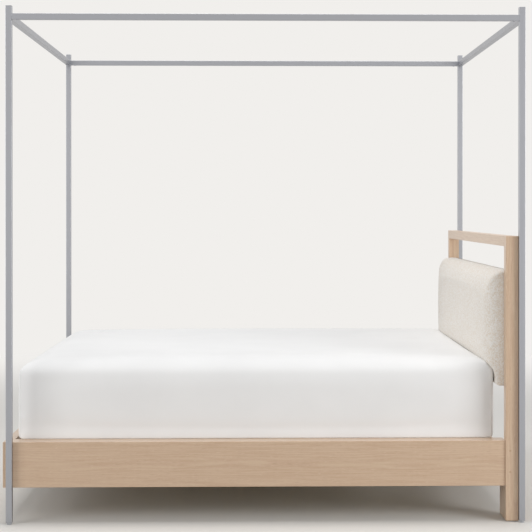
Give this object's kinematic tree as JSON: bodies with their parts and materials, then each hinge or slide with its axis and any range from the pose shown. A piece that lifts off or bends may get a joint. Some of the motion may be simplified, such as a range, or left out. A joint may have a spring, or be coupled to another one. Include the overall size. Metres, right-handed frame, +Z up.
{
  "type": "four poster canopy bed",
  "caption": "Canopy bed with oak rails, an upholstered panel in an oak headboard, a deep mattress and a square-tube metal canopy on tall corner posts.",
  "frame": {"origin": "on the floor under the middle of the bed's outline", "axes": "+X from the foot to the head, +Y to the side on the left hand of someone who stands at the foot and looks at the headboard, +Z up"},
  "size_m": [2.184, 1.7428, 2.159],
  "materials": {
    "oak": "matte",
    "poplar": "matte",
    "beech": "matte",
    "plywood": "matte",
    "satin_nickel": "satin",
    "zinc_plate": "satin",
    "brass": "satin",
    "nylon": "matte",
    "upholstery": "matte",
    "mattress_cover": "matte"
  },
  "bodies": {
    "frame": {"beam_hangers": "zinc_plate", "canopy_post_foot_left": "satin_nickel", "canopy_post_foot_right": "satin_nickel", "canopy_post_head_left": "satin_nickel", "canopy_post_head_right": "satin_nickel", "canopy_rail_foot": "satin_nickel", "canopy_rail_head": "satin_nickel", "canopy_rail_left": "satin_nickel", "canopy_rail_right": "satin_nickel", "canopy_screws": "satin_nickel", "canopy_spigots": "satin_nickel", "centre_beam": "poplar", "centre_legs": "beech", "corner_brackets": "zinc_plate", "dowels": "beech", "foot_post_bolts": "zinc_plate", "footboard": "oak", "head_post_tabs": "satin_nickel", "headboard_bolts": "zinc_plate", "headboard_lower_rail": "oak", "headboard_pad": "upholstery", "headboard_post_left": "oak", "headboard_post_right": "oak", "headboard_top_rail": "oak", "leg_blocks": "oak", "leg_glides": "nylon", "leg_studs": "zinc_plate", "nut_plates": "zinc_plate", "panel_board": "plywood", "panel_cleats": "poplar", "post_caps": "satin_nickel", "post_glides": "nylon", "rail_cap_left": "oak", "rail_cap_right": "oak", "rail_face_left": "oak", "rail_face_right": "oak", "rail_foot_blocks": "poplar", "rail_head_blocks": "poplar", "rail_inner_left": "poplar", "rail_inner_right": "poplar", "slat_01": "poplar", "slat_02": "poplar", "slat_03": "poplar", "slat_04": "poplar", "slat_05": "poplar", "slat_06": "poplar", "slat_07": "poplar", "slat_08": "poplar", "slat_09": "poplar", "slat_10": "poplar", "slat_11": "poplar", "slat_12": "poplar", "slat_13": "poplar", "slat_cleats": "poplar", "threaded_inserts": "brass", "wood_screws": "zinc_plate"},
    "mattress": {"mattress": "mattress_cover"},
    "foot_leveller": {"leveller_foot": "zinc_plate"},
    "head_leveller": {"leveller_head": "zinc_plate"}
  },
  "joints": [
    {"name": "mattress_lift", "type": "slide", "parent": "frame", "child": "mattress", "axis": [-0.6428, 0, 0.766], "range_m": [0, 0.3]},
    {"name": "foot_leveller_screw", "type": "slide", "parent": "frame", "child": "foot_leveller", "axis": [0, 0, -1], "range_m": [0, 0.015]},
    {"name": "head_leveller_screw", "type": "slide", "parent": "frame", "child": "head_leveller", "axis": [0, 0, -1], "range_m": [0, 0.015]}
  ]
}
